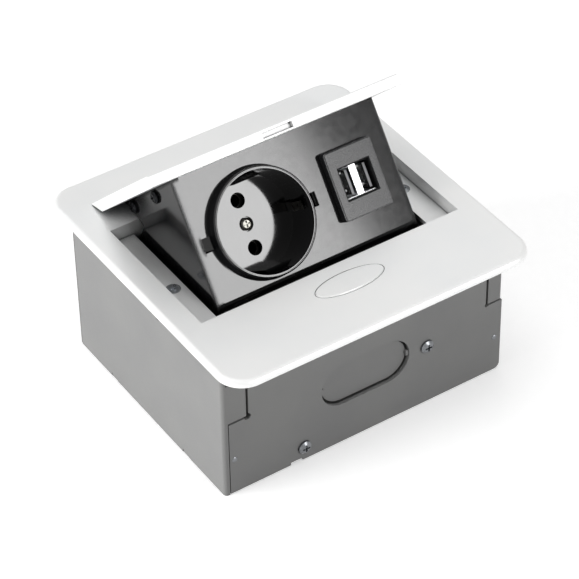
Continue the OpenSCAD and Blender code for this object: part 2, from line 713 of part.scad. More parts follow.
// Open retaining clips in the pins' grooves
module pin_clips() color("#6f7276") for (side = [0, 1]) mirror([side, 0, 0])
    translate([-clip_x - 0.85, hinge_y, hinge_z]) rotate([0, 90, 0]) difference() {
        cylinder(h = 0.8, r = pin_d / 2 + 1.7);
        translate([0, 0, -1]) cylinder(h = 3, r = pin_d / 2 - 0.45);
        translate([-pin_d / 2 + 0.6, 0, -1]) cube([pin_d - 1.2, 9, 3]);
    }

// Nylon washers between the cheeks and the brackets
module hinge_washers() color("#e8e4d8") for (side = [0, 1]) mirror([side, 0, 0])
    translate([-bracket_in + 0.05, hinge_y, hinge_z]) rotate([0, 90, 0]) difference() {
        cylinder(h = bracket_in - tray_w / 2 - 0.1, r = pin_d / 2 + 2.2);
        translate([0, 0, -1]) cylinder(h = 9, r = pin_d / 2 + 0.03);
    }

// Torsion spring: fixed end in the bracket, coil around the pin, moving end in the tray's cheek
module torsion_spring() {
    steps = 18;
    a0 = arm_angle() - open_angle;
    sweep = 360 * spring_turns + 270 - a0;
    n = ceil(sweep * steps / 360);
    x_end = coil_start + coil_pitch * sweep / 360;
    function at(x, r, a) = [-x, hinge_y + r * cos(a), hinge_z + r * sin(a)];
    p = concat(
        [at(cheek_in + 0.2, spring_arm_r, a0), at(coil_start - 0.9, spring_arm_r, a0),
            at(coil_start - 0.25, spring_arm_r - 0.25, a0), at(coil_start, spring_arm_r - 0.9, a0),
            at(coil_start, coil_r + 1.6, a0 - 4), at(coil_start, coil_r + 0.5, a0 + 2)],
        [for (i = [1:n - 1]) at(coil_start + (x_end - coil_start) * i / n, coil_r, a0 + sweep * i / n)],
        [at(x_end, coil_r + 0.5, 268), at(x_end, anchor_r - 0.9, 270), at(x_end - 0.25, anchor_r - 0.25, 270),
            at(x_end - 0.9, anchor_r, 270), at(bracket_in + 0.3, anchor_r, 270)]);
    wire(p, spring_wire / 2, 8, [0, 0, 1]);
}
module torsion_spring_left() color("#9a9da1") torsion_spring();
module torsion_spring_right() color("#9a9da1") mirror([1, 0, 0]) torsion_spring();

// Button and latch, under the frame's front band

function ear_x() = housing_half + 4;
function ear_y() = -button_y;

// Open-topped moulded case screwed under the frame
module latch_housing() color("#3a3b3d") {
    d = housing_rear - housing_front;
    h = box_h - housing_z;
    wall = 1.4;
    difference() {
        union() {
            translate([-housing_half, housing_front, housing_z]) cube([2 * housing_half, d, h]);
            for (x = [-1, 1]) translate([x * ear_x() - 4, ear_y() - 4.5, box_h - 2.4]) cube([8, 9, 2.4]);
        }
        translate([-housing_half + wall, housing_front + wall, latch_floor])
            cube([2 * (housing_half - wall), d - 2 * wall, h]);
        // Window of the latch bolt
        translate([-nose_w / 2 - 0.6, housing_rear - wall - 1, carriage_z - 0.6])
            cube([nose_w + 1.2, wall + 2, h]);
        for (x = [-1, 1]) translate([x * ear_x(), ear_y(), box_h - 4]) cylinder(h = 6, r = 1.35);
    }
    // Rails that the latch bolt slides on
    for (x = [-1, 1]) translate([x * 4.9 - 0.9, housing_front + wall - 0.1, latch_floor - 0.1])
        cube([1.8, d - 2 * wall - 3, carriage_z - latch_floor - 0.1]);
    // Sleeves that guide the button's posts
    for (x = [-1, 1]) translate([x * post_x, -button_y, latch_floor - 0.1]) difference() {
        cylinder(h = 4.1, r = post_r + 1.5);
        cylinder(h = 5, r = post_r + 0.3);
    }
}

module latch_housing_screws() color("#b9bcc0") for (x = [-1, 1])
    translate([x * ear_x(), ear_y(), box_h - 2.4]) rotate([180, 0, 0]) pan_screw(2.4, 4.2);

// Bolt: bevelled nose, riser, base on the rails and the 45 degree ramp that the button pushes
module latch_bolt() color("#d9d9d6") {
    nose_tip = -opening_front + nose_reach;
    riser_y = housing_rear - 1.2;
    ramp_gap = 0.3;
    ramp = -button_y - 2.1 + top_z - 6.5 - ramp_gap;
    front = -button_y - 4.7;
    // Nose and riser
    along_x(-nose_w / 2, nose_w / 2) polygon([[riser_y, carriage_z], [riser_y + 1.2, carriage_z],
        [riser_y + 1.2, nose_z], [nose_tip, nose_z], [nose_tip, nose_z + nose_t - 1.05],
        [nose_tip - 1.4, nose_z + nose_t], [riser_y, nose_z + nose_t]]);
    // Base plate with the ramp
    along_x(-5.6, 5.6) polygon([[front, carriage_z], [riser_y + 0.1, carriage_z],
        [riser_y + 0.1, carriage_z + 1.3], [front, carriage_z + 1.3]]);
    along_x(-wedge_half - 0.2, wedge_half + 0.2) polygon([[front, carriage_z + 1.2],
        [ramp - carriage_z - 1.2, carriage_z + 1.2], [front, ramp - front]]);
    // Tail for the latch spring
    along_x(-2.6, 2.6) polygon([[tail_y(), carriage_z + 0.1], [tail_y(), latch_floor + 0.3],
        [tail_y() + 1.5, latch_floor + 0.3], [tail_y() + 1.5, carriage_z + 0.1]]);
}

function tail_y() = -button_y + 0.8;

// Springs that push the bolt out and the button up
module latch_spring() color("#9a9da1")
    translate([0, housing_front + 1.4 + 0.05, (carriage_z + latch_floor) / 2 - 0.05]) rotate([-90, 0, 0])
        coil_spring(1.35, 0.3, tail_y() - housing_front - 1.4 - 0.1, 5);

module button_springs() color("#9a9da1") for (x = [-1, 1])
    translate([x * post_x, -button_y, latch_floor + 4.05]) coil_spring(post_r + 0.75, 0.3, cap_low - latch_floor - 4.1, 6);

// Oval cap, flush with the frame, with a wedge and two guide posts
module button_cap() color("#f4f4f2") translate([0, -button_y, 0]) {
    translate([0, 0, cap_low]) linear_extrude(top_z + button_proud - 0.35 - cap_low) oval(button_a, button_b);
    translate([0, 0, top_z + button_proud - 0.36]) linear_extrude(0.36) oval(button_a - 0.35, button_b - 0.35);
    along_x(-wedge_half, wedge_half) polygon([[-2.1, cap_low + 0.1], [-2.1, top_z - 6.5], [1.9, top_z - 10.5],
        [2.9, top_z - 10.5], [2.9, cap_low + 0.1]]);
    for (x = [-1, 1]) translate([x * post_x, 0, latch_floor + button_travel + 0.3])
        cylinder(h = cap_low - latch_floor - button_travel - 0.2, r = post_r);
}

// Lid and tray

// Lid plate with the latch slot in its front edge, a sloped rear edge and two ribs underneath
module lid() color("#f4f4f2") opened() difference() {
    union() {
        along_x(-lid_w / 2, lid_w / 2) polygon([[lid_front + 0.3, lid_z], [lid_front, lid_z + 0.3],
            [lid_front, top_z - 0.5], [lid_front + 0.5, top_z], [lid_rear, top_z], [lid_rear, top_z - lid_edge_t],
            [lid_rear - lid_slope_d, lid_z]]);
        for (x = [-1, 1]) along_x(x > 0 ? cheek_in - play - rib_w : play - cheek_in,
                                  x > 0 ? cheek_in - play : play - cheek_in + rib_w)
            polygon([[face_y + 3, lid_z + 0.1], [face_y + 3, rib_z + 1], [face_y + 4, rib_z],
                [rib_rear(rib_z), rib_z], [rib_rear(lid_z), lid_z + 0.1]]);
    }
    translate([-nose_w / 2 - 0.75, lid_front - 1, nose_z - 0.25]) cube([nose_w + 1.5, 3.2, nose_t + 0.4]);
    for (x = [-1, 1], y = cheek_screw_y) translate([x * (cheek_in - 1.4), y, cheek_screw_z])
        rotate([0, 90, 0]) cylinder(h = 5, r = cheek_screw_d / 2 + 0.05, center = true);
}

// How far back something at height z may reach and still clear the rear edge of the opening
function rib_rear(z) = hinge_y - sqrt(pow(rim_r + 0.6, 2) - pow(z - hinge_z, 2));

// Room that the wall behind the opening takes as the tray swings, about the hinge
module rim_sweep() {
    translate([hinge_y, hinge_z]) ring_sector(lug_r - 0.01, rim_r + 0.6, 40, rim_stop + 2);
}

// Corner between the face and the floor, rounded to radius r, of a tray cut back by t, as [y, z]
module tray_corner(t, top, rear) {
    foot = [face_foot[0] + t / cos(face_lean) - t * tan(face_lean), face_foot[1] + t];
    r = lower_bend_r - t;
    centre = foot + [r / cos(face_lean) - r * tan(face_lean), r];
    tangent = norm(centre - foot) * sin((90 - face_lean) / 2);
    up = [-sin(face_lean), cos(face_lean)];
    difference() {
        polygon([foot, [rear, foot[1]], [rear, top], foot + up * (top - foot[1]) / cos(face_lean)]);
        polygon([foot, foot + tangent * [1, 0], centre, foot + tangent * up]);
    }
    translate(centre) circle(r);
}

// Side view of the tray, as [y, z]: a cheek reaches back to its hinge lug
module cheek_profile() {
    difference() {
        intersection() {
            tray_corner(0, lid_z, hinge_y + 10);
            polygon([[-opening_front - 5, face_foot[1]], [cover_y + 1, face_foot[1]],
                [hinge_y - 1, hinge_z - lug_r], [hinge_y, hinge_z + lug_r], [rib_rear(lid_z), lid_z],
                [-opening_front - 5, lid_z]]);
        }
        rim_sweep();
    }
    translate([hinge_y, hinge_z]) circle(lug_r);
}

// Folded sheet: sloping face, two cheeks with hinge lugs and a short floor
module tray_shell() color("#3c3d40") opened() difference() {
    along_x(-tray_w / 2, tray_w / 2) cheek_profile();
    along_x(-cheek_in, cheek_in) tray_corner(tray_t, lid_z + 2, hinge_y + 20);
    // Bends at both sides of the face
    translate([0, face_y, lid_z]) rotate([90 + face_lean, 0, 0]) {
        for (x = [-1, 1]) difference() {
            translate([x * (tray_w / 2 - face_bend_r / 2 + 0.5), -face_len / 2, 0.5 - face_bend_r / 2])
                cube([face_bend_r + 1, face_len * 2, face_bend_r + 1], center = true);
            translate([x * (tray_w / 2 - face_bend_r), 0, -face_bend_r]) rotate([90, 0, 0])
                cylinder(h = face_len * 4, r = face_bend_r, center = true);
        }
        // Hole of the socket with the notches of its claws, and the hole of the USB block
        translate([-socket_x, -socket_s, -3]) {
            cylinder(h = 4, r = socket_hole_r());
            translate([-lug_reach, -lug_w / 2 - 0.15, 0]) cube([2 * lug_reach, lug_w + 0.3, 4]);
        }
        translate([usb_x, -usb_s, -3]) linear_extrude(4)
            round_rect(usb_w - 1.6 + 2 * play, usb_l - 1.6 + 2 * play, usb_corner_r);
    }
    // Hinge, spring and screw holes in the cheeks
    for (x = [-1, 1]) {
        translate([x * tray_w / 2, hinge_y, hinge_z]) rotate([0, 90, 0])
            cylinder(h = 8, r = pin_d / 2 + pin_fit, center = true);
        translate([x * tray_w / 2, hinge_y + spring_arm_r * cos(arm_angle()), hinge_z + spring_arm_r * sin(arm_angle())])
            rotate([0, 90, 0]) cylinder(h = 8, r = spring_wire / 2 + 0.2, center = true);
        for (y = cheek_screw_y) translate([x * tray_w / 2, y, cheek_screw_z]) rotate([0, 90, 0])
            cylinder(h = 8, r = cheek_screw_d / 2 + 0.1, center = true);
        for (z = cover_screw_z()) translate([x * tray_w / 2, cover_y - 4.5, z]) rotate([0, 90, 0])
            cylinder(h = 8, r = 1.3, center = true);
    }
}

function socket_hole_r() = ring_r - 0.8;
function cover_screw_z() = [face_foot[1] + 6, face_foot[1] + 16];

module cheek_screws() color("#8d9094") opened() for (x = [-1, 1], y = cheek_screw_y)
    translate([x * tray_w / 2, y, cheek_screw_z]) rotate([0, x * 90, 0]) pan_screw(cheek_screw_d * 0.93, 4.4);

// Cover that closes the tray behind the live parts, with turned edges at both sides
module rear_cover() color("#2f3032") opened() difference() {
    half = cheek_in - play;
    neck = half - rib_w - play;
    low = face_foot[1] + tray_t + play;
    high = rib_z - play;
    union() {
        translate([-half, cover_y - cover_t, low]) cube([2 * half, cover_t, high - low]);
        translate([-neck, cover_y - cover_t, low]) cube([2 * neck, cover_t, lid_z - play - low]);
        for (x = [-1, 1]) translate([x > 0 ? half - cover_t : -half, cover_y - 9, low])
            cube([cover_t, 9, high - low]);
    }
    translate([inlet_x(), cover_y, inlet_z()]) rotate([90, 0, 0]) cylinder(h = 10, r = inlet_r + 1.2, center = true);
    for (x = [-1, 1], z = cover_screw_z()) translate([x * half, cover_y - 4.5, z]) rotate([0, 90, 0])
        cylinder(h = 8, r = 1.15, center = true);
}

function inlet_x() = usb_x - 5;
function inlet_z() = face_foot[1] + 14;

module cover_screws() color("#8d9094") opened() for (x = [-1, 1], z = cover_screw_z())
    translate([x * tray_w / 2, cover_y - 4.5, z]) rotate([0, x * 90, 0]) pan_screw(2.2, 4.2);

// Rubber ring in the cable inlet, with a lip on each side of the cover
module cable_grommet() color("#1c1c1d") opened() translate([inlet_x(), cover_y, inlet_z()]) rotate([90, 0, 0])
    difference() {
        union() {
            translate([0, 0, -1.5]) cylinder(h = 1.45, r1 = inlet_r + 1.6, r2 = inlet_r + 2.6);
            translate([0, 0, -0.1]) cylinder(h = cover_t + 0.2, r = inlet_r + 1.1);
            translate([0, 0, cover_t + 0.05]) cylinder(h = 1.2, r = inlet_r + 2.4);
        }
        translate([0, 0, -3]) cylinder(h = 9, r = inlet_r);
    }

// Mains socket

// Front moulding: ring on the face, plug recess with guide ribs, floor with the pin holes
module socket_front() color("#1f2022") at_socket() {
    body_r = socket_hole_r() - play;
    difference() {
        union() {
            rotate_extrude() difference() {
                union() {
                    polygon([[0, base_top], [body_r, base_top], [body_r, 0.05], [ring_r, 0.05],
                        [ring_r - 0.75, ring_h - 0.6], [ring_r - 1.35, ring_h], [0, ring_h]]);
                }
                // Recess, its chamfered mouth and the fine groove in the rim
                polygon([[-1, floor_h], [recess_r - 0.4, floor_h], [recess_r, ring_h - 1.2],
                    [recess_r + 0.25, ring_h + 1], [-1, ring_h + 1]]);
                polygon([[recess_r + 0.45, ring_h + 1], [recess_r + 0.45, ring_h - 0.35],
                    [recess_r + 0.7, ring_h - 0.35], [recess_r + 0.7, ring_h + 1]]);
            }
            // Guide ribs above and below the pins, with sloped lead-ins
            for (a = [0, 180]) rotate([0, 0, a]) guide_rib();
        }
        for (y = [-1, 1]) translate([0, y * pin_spacing / 2, base_top - 1]) cylinder(h = floor_t + 2, r = pin_hole_r);
        // Counterbore of the centre screw
        translate([0, 0, floor_h - 1.1]) cylinder(h = 3, r = 2.9);
        translate([0, 0, base_top - 1]) cylinder(h = 4, r = 1.65);
        // Slots of the earth clips through the wall and the floor
        for (x = [-1, 1]) translate([x * (recess_r - 0.2), 0, 0]) {
            translate([-1.6, -earth_w / 2 - play, base_top - 1]) cube([3.2, earth_w + 2 * play, recess_depth - 1.5]);
        }
    }
    // Snap lugs in the notches of the face, with barbs that grip behind it
    for (a = [0, 180]) rotate([0, 0, a]) translate([0, lug_w / 2, 0]) rotate([90, 0, 0])
        linear_extrude(lug_w) polygon([[body_r - 0.6, -tray_t - play], [lug_reach - 0.5, -tray_t - 2.2],
            [lug_reach - 0.5, -tray_t - play], [lug_reach + 0.8, -tray_t - play], [lug_reach + 0.8, -4.6],
            [body_r - 0.6, -4.6]]);
}

module guide_rib() {
    intersection() {
        translate([0, 0, base_top + 0.1]) cylinder(h = recess_depth + floor_t - 1.6, r = recess_r + 0.4);
        translate([0, guide_at, 0]) difference() {
            translate([-guide_w / 2, 0, floor_h - 0.1]) cube([guide_w, 9, recess_depth - 1.8]);
            // Lead-in along the top edge
            translate([-guide_w, 0, ring_h - 3.2]) rotate([-38, 0, 0]) translate([0, -8, 0])
                cube([2 * guide_w, 12, 8]);
            for (x = [-1, 1]) translate([x * guide_w / 2, 0, floor_h - 1]) rotate([0, 0, x * 40])
                translate([x > 0 ? -1.1 : -4.9, -6, 0]) cube([6, 12, 30]);
        }
    }
}

// Block behind the front moulding, with chambers for the contacts and wells for the terminal screws
module socket_base() color("#2a2b2d") at_socket() translate([0, 0, base_back]) difference() {
    linear_extrude(base_len - 0.1) intersection() {
        round_rect(base_w, base_w, 4);
        circle(socket_hole_r() - play);
    }
    for (a = [0, 180]) rotate([0, 0, a]) {
        translate([0, pin_spacing / 2, -1]) cylinder(h = base_len + 2, r = sleeve_r + sleeve_t + 0.15);
        translate([-terminal_x() - terminal_w / 2 - 0.15, pin_spacing / 2 - terminal_w / 2 - 0.15, 4])
            cube([terminal_x() + terminal_w / 2 + 0.3, terminal_w + 0.3, base_len]);
        translate([-terminal_x(), pin_spacing / 2, -1]) cylinder(h = base_len, r = 2.6);
    }
    translate([0, 0, -1]) cylinder(h = base_len + 2, r = 1.35);
    // Groove of the earth clip across the front of the block, and its side pockets
    translate([-base_w, -earth_w / 2 - play, base_len - earth_t - 0.25]) cube([2 * base_w, earth_w + 2 * play, 3]);
    // Well and clearance hole of the earth terminal screw
    translate([earth_x, 0, -1]) cylinder(h = 5, r = 2.6);
    translate([earth_x, 0, -1]) cylinder(h = base_len + 2, r = 1.3);
}

module socket_screw() color("#d5d8db") at_socket() translate([0, 0, floor_h - 1.05]) pan_screw(2.6, 12);

function contact_front() = base_top - 1.5;
function terminal_x() = sleeve_r + sleeve_t + terminal_w / 2 - 0.3;

// Contact: split sleeve for a plug's pin, with a threaded terminal block at its side
module contact() {
    front = contact_front();
    difference() {
        union() {
            translate([0, 0, front - sleeve_len]) cylinder(h = sleeve_len, r = sleeve_r + sleeve_t);
            translate([-terminal_x() - terminal_w / 2, -terminal_w / 2, front - terminal_len])
                cube([terminal_w, terminal_w, terminal_len]);
        }
        translate([0, 0, front - sleeve_len - 1]) cylinder(h = sleeve_len + 2, r = sleeve_r);
        translate([-0.4, 0, front - sleeve_len + 3]) cube([0.8, 5, sleeve_len]);
        translate([-terminal_x(), 0, front - terminal_len - 1]) cylinder(h = terminal_len - 1, r = 1.25);
    }
}
module contact_upper() color("#c3c1b8") at_socket() translate([0, pin_spacing / 2, 0]) contact();
module contact_lower() color("#c3c1b8") at_socket() translate([0, -pin_spacing / 2, 0]) rotate([0, 0, 180]) contact();

// Clamping screws of the line, neutral and earth wires, reached from behind
module terminal_screws() color("#c3c6c9") at_socket() {
    for (a = [0, 180]) rotate([0, 0, a])
        translate([-terminal_x(), pin_spacing / 2, contact_front() - terminal_len - 0.05])
            rotate([180, 0, 0]) pan_screw(2.3, terminal_len - 2.6);
    translate([earth_x, 0, base_back + 4]) rotate([180, 0, 0]) pan_screw(2.3, base_len - 5.4);
}

// Earth clip: one bent strip, across the block and up both sides of the recess
module earth_clip() color("#cfcdc4") at_socket() {
    strip_z = base_top - earth_t - 0.15;
    at = recess_r - 0.9;
    difference() {
        translate([-at, -earth_w / 2, strip_z]) cube([2 * at, earth_w, earth_t]);
        translate([0, 0, strip_z - 1]) cylinder(h = 4, r = 1.5);
        translate([earth_x, 0, strip_z - 1]) cylinder(h = 4, r = 1.25);
    }
    for (a = [0, 180]) rotate([0, 0, a]) rotate([90, 0, 0]) translate([0, 0, -earth_w / 2])
        linear_extrude(earth_w) polygon([[at - earth_t, strip_z], [at, strip_z], [at, floor_h + 4],
            [at - 1.9, floor_h + 9], [at + 0.3, ring_h - 5], [at - 0.4, ring_h - 4.6],
            [at - 1.9 - earth_t, floor_h + 9], [at - earth_t, floor_h + 4]]);
}

// USB charger

// Moulded housing: rounded block on the face and a case behind it, hollow at the ports
module usb_housing() color("#5c5d60") at_usb() difference() {
    union() {
        translate([0, 0, 0.05]) linear_extrude(usb_h - 0.45) round_rect(usb_w, usb_l, usb_corner_r);
        translate([0, 0, usb_h - 0.4]) linear_extrude(0.4) round_rect(usb_w - 0.8, usb_l - 0.8, usb_corner_r - 0.4);
        translate([0, 0, -usb_case_depth]) linear_extrude(usb_case_depth + 0.1)
            round_rect(usb_w - 1.6, usb_l - 1.6, usb_corner_r);
    }
    translate([-port_w / 2, -port_l / 2, usb_h - 5]) cube([port_w, port_l, 6]);
    translate([-usb_w / 2 + 0.8 + usb_wall, -usb_l / 2 + 0.8 + usb_wall, -usb_case_depth - 1])
        cube([usb_w - 1.6 - 2 * usb_wall, usb_l - 1.6 - 2 * usb_wall, usb_case_depth + usb_h - 0.2]);
}

// Level of the circuit board behind the face
function board_h() = shell_front() - port_depth - 0.1;
function shell_front() = usb_h - port_drop;
function port_l_in() = port_l - 1.1;
function port_in_w() = (port_w - 1.1 - port_bar) / 2;
function port_x() = port_bar / 2 + port_in_w() / 2;

// Black insert that lines the cut-out and the ports
module usb_port_block() color("#161617") at_usb() translate([0, 0, shell_front() - port_depth]) difference() {
    translate([-port_w / 2 + 0.15, -port_l / 2 + 0.15, 0]) cube([port_w - 0.3, port_l - 0.3, port_depth + port_drop - 0.3]);
    translate([-port_w / 2 + 0.5, -port_l / 2 + 0.5, -1]) cube([port_w - 1, port_l - 1, port_depth + port_drop + 2]);
}

// Tinned shell: a bar between the ports, a lip below them and spring bumps beside the plugs
module usb_port_shell() color("#d9dadc") at_usb() translate([0, 0, shell_front() - port_depth]) {
    sheet = 0.3;
    x0 = -port_w / 2 + 0.55;
    y0 = -port_l_in() / 2;
    translate([x0, y0, 0]) cube([port_w - 1.1, port_l_in(), sheet]);
    translate([x0, y0, 0]) cube([port_w - 1.1, sheet, port_depth]);
    translate([x0, y0, 0]) cube([sheet, port_l_in(), port_depth]);
    difference() {
        translate([-port_bar / 2, y0 + 0.1, 0]) cube([port_bar, port_l_in() - 0.1, port_depth]);
        translate([-port_bar / 2 + sheet, y0 - 1, sheet]) cube([port_bar - 2 * sheet, port_l_in() + 2, port_depth - 2 * sheet]);
    }
    for (x = [x0 + 0.1, port_bar / 2 - 0.1], y = [port_l / 2 - 2.1, port_l / 2 - 9.2])
        translate([x, y, port_depth - 0.9]) rotate([0, 90, 0]) cylinder(h = 1.6, r1 = 0.85, r2 = 0.4);
}

// Tongue with its contacts, standing in one port close to its right-hand wall
module usb_tongue(side) at_usb() translate([side * port_x() + 1.3, 0, shell_front() - port_depth + 0.35]) {
    long = port_l - 3.5;
    translate([-tongue_t / 2, -long / 2, 0]) cube([tongue_t, long, port_depth - 1.2]);
    for (i = [0:3]) translate([-tongue_t / 2 - 0.12, -long / 2 + 0.6 + i * 2.45, 1]) cube([0.2, 1.1, port_depth - 3.6]);
}
module usb_tongue_left() color("#8b8c8e") usb_tongue(-1);
module usb_tongue_right() color("#8b8c8e") usb_tongue(1);

// Board that carries the port shell, across the case
module usb_circuit_board() color("#2f6b45") at_usb() {
    w = usb_w - 1.6 - 2 * usb_wall - 0.3;
    l = usb_l - 1.6 - 2 * usb_wall - 0.3;
    translate([-w / 2, -l / 2, board_h() - 1.2]) cube([w, l, 1.2]);
    for (i = [-1, 0, 1]) translate([i * 4.5 - 1.2, -l / 2 + 1, board_h() - 0.05]) cube([2.4, 1.6, 1]);
}

module usb_transformer() color("#c8a23c") at_usb() translate([0, 2, board_h() - 1.25 - 8.6]) {
    translate([-5.5, -5, 0]) cube([11, 10, 1.4]);
    translate([-4, -3.6, 1.3]) cube([8, 7.2, 6]);
    translate([-5.5, -5, 7.2]) cube([11, 10, 1.4]);
}

// Screw terminal at the back of the charger
module usb_terminal_block() color("#3c7f5d") at_usb() translate([0, -usb_l / 2 + 5.4, board_h() - 1.25 - 7])
    difference() {
        translate([-7, -2.6, 0]) cube([14, 5.2, 7]);
        for (x = [-1, 1]) {
            translate([x * 3.4, 0, -1]) cylinder(h = 5, r = 1.7);
            translate([x * 3.4, -6, 2.2]) rotate([-90, 0, 0]) cylinder(h = 6, r = 1.2);
        }
    }

top_frame();
ledge_screws();
frame_screws();
left_panel();
right_panel();
front_panel();
rear_panel();
bottom_panel();
panel_screws();
panel_nuts();
panel_rivets();
hinge_bracket_left();
hinge_bracket_right();
hinge_pin_left();
hinge_pin_right();
pin_clips();
hinge_washers();
torsion_spring_left();
torsion_spring_right();
latch_housing();
latch_housing_screws();
latch_bolt();
latch_spring();
button_cap();
button_springs();
lid();
tray_shell();
cheek_screws();
rear_cover();
cover_screws();
cable_grommet();
socket_front();
socket_base();
socket_screw();
contact_upper();
contact_lower();
terminal_screws();
earth_clip();
usb_housing();
usb_port_block();
usb_port_shell();
usb_tongue_left();
usb_tongue_right();
usb_circuit_board();
usb_transformer();
usb_terminal_block();
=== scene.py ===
import math

import bpy
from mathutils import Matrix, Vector


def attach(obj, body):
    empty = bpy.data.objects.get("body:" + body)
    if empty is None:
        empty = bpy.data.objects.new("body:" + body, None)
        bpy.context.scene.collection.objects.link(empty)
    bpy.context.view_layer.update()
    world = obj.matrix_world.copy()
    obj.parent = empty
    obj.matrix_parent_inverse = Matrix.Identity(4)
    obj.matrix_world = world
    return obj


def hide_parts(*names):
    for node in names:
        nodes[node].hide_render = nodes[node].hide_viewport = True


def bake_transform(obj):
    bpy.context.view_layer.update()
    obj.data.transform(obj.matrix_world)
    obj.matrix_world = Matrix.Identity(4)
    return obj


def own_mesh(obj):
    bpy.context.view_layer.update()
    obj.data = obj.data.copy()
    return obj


# Pop-up power module: finishes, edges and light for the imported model. Metres, +Z up.
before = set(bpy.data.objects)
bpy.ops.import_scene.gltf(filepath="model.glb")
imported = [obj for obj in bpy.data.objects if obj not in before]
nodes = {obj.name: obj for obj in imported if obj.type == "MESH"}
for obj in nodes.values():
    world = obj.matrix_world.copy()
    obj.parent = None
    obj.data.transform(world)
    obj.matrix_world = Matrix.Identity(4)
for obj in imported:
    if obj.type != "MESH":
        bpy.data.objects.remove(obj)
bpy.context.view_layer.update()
mm = 0.001


# Colours are written as sRGB hex and turned to linear here
def linearColour(hexColour, alpha=1.0):
    channels = [int(hexColour[i:i + 2], 16) / 255 for i in (1, 3, 5)]
    return [c / 12.92 if c <= 0.04045 else ((c + 0.055) / 1.055) ** 2.4 for c in channels] + [alpha]


# Adds one shader node, sets its values, and links its inputs to other nodes' outputs
def addNode(tree, kind, settings=None, values=None, links=None):
    node = tree.nodes.new(kind)
    for name, value in (settings or {}).items():
        setattr(node, name, value)
    for name, value in (values or {}).items():
        node.inputs[name].default_value = value
    for name, source in (links or {}).items():
        tree.links.new(source, node.inputs[name])
    return node


# Starts a material whose shader holds the constant values
def newMaterial(name, shaderValues):
    material = bpy.data.materials.new(name)
    material.use_nodes = True
    tree = material.node_tree
    tree.nodes.clear()
    shader = addNode(tree, "ShaderNodeBsdfPrincipled", values=shaderValues)
    addNode(tree, "ShaderNodeOutputMaterial", links={"Surface": shader.outputs["BSDF"]})
    place = addNode(tree, "ShaderNodeTexCoord").outputs["Object"]
    return material, tree, shader, place


# Noise of a real grain size, in millimetres
def grain(tree, place, sizeMm, detail=3.0, stretch=(1, 1, 1)):
    scaled = addNode(tree, "ShaderNodeMapping", values={"Scale": stretch}, links={"Vector": place})
    return addNode(tree, "ShaderNodeTexNoise",
                   values={"Scale": 1 / (sizeMm * mm), "Detail": detail, "Roughness": 0.55},
                   links={"Vector": scaled.outputs["Vector"]}).outputs["Fac"]


# Spreads a 0 to 1 pattern between two numbers
def between(tree, pattern, low, high, fromLow=0.3, fromHigh=0.7):
    return addNode(tree, "ShaderNodeMapRange",
                   values={"From Min": fromLow, "From Max": fromHigh, "To Min": low, "To Max": high},
                   links={"Value": pattern}).outputs["Result"]


# Mixes two hex colours by a 0 to 1 pattern
def tint(tree, pattern, hexLow, hexHigh, fromLow=0.3, fromHigh=0.7):
    ramp = addNode(tree, "ShaderNodeValToRGB", links={"Fac": pattern})
    ends = ramp.color_ramp.elements
    ends[0].position = fromLow
    ends[0].color = linearColour(hexLow)
    ends[1].position = fromHigh
    ends[1].color = linearColour(hexHigh)
    return ramp.outputs["Color"]


# Gives the shader a colour and a roughness that wander between two values each
def surface(tree, shader, colourPattern, look, roughPattern):
    tree.links.new(tint(tree, colourPattern, look["dark"], look["light"]), shader.inputs["Base Color"])
    tree.links.new(between(tree, roughPattern, *look["rough"]), shader.inputs["Roughness"])


# Raises the surface by a pattern, height in millimetres
def raised(tree, shader, pattern, heightMm, strength, normal=None):
    bump = addNode(tree, "ShaderNodeBump", values={"Distance": heightMm * mm, "Strength": strength},
                   links={"Height": pattern})
    if normal:
        tree.links.new(normal, bump.inputs["Normal"])
    tree.links.new(bump.outputs["Normal"], shader.inputs["Normal"])


# Paints shade into a colour in seams, gaps and inner corners, where little light reaches: painted shade.
# It is darkest where less than closedAt of the surroundings is open, and plain above openAt
def paintedSeamShade(tree, colour, reachMm, hexShade, closedAt=0.22, openAt=0.62):
    openness = addNode(tree, "ShaderNodeAmbientOcclusion", settings={"samples": 8},
                       values={"Distance": reachMm * mm}).outputs["AO"]
    tone = addNode(tree, "ShaderNodeMix", settings={"data_type": "RGBA"})
    tree.links.new(between(tree, openness, 0, 1, closedAt, openAt), tone.inputs[0])
    tone.inputs[6].default_value = linearColour(hexShade)
    tree.links.new(colour, tone.inputs[7])
    return tone.outputs[2]


# Bead-blasted, silver anodised aluminium: pale and even, with a soft sheen and a fine matt grit, drawn
# coarser than its real 0.1 mm so that it shows. Painted shade darkens its seams and gaps, and a wide
# painted shadow in the well colour darkens it deep in the frame's opening and under the lid
def satinAnodisedAluminium(name, wellShadeHex):
    look = {"light": "#fafaf9", "dark": "#f5f6f6", "rough": (0.36, 0.48), "cloudMm": 38,
            "seamShade": "#2c2d2e", "seamShadeMm": 1.0, "seamShadeOpenAt": 0.85, "wellShade": wellShadeHex, "wellShadeMm": 9,
            "gritMm": 0.35, "gritHeightMm": 0.006, "gritStrength": 0.35}
    material, tree, shader, place = newMaterial(name, {"Metallic": 0.55})
    silver = tint(tree, grain(tree, place, look["cloudMm"]), look["dark"], look["light"])
    # Painted shadow deep in the opening and under the lid, then painted shade in the seams and gaps
    shaded = paintedSeamShade(tree, silver, look["wellShadeMm"], look["wellShade"])
    seamShaded = paintedSeamShade(tree, shaded, look["seamShadeMm"], look["seamShade"], openAt=look["seamShadeOpenAt"])
    tree.links.new(seamShaded, shader.inputs["Base Color"])
    grit = grain(tree, place, look["gritMm"], detail=2)
    tree.links.new(between(tree, grit, *look["rough"]), shader.inputs["Roughness"])
    raised(tree, shader, grit, look["gritHeightMm"], look["gritStrength"])
    return material


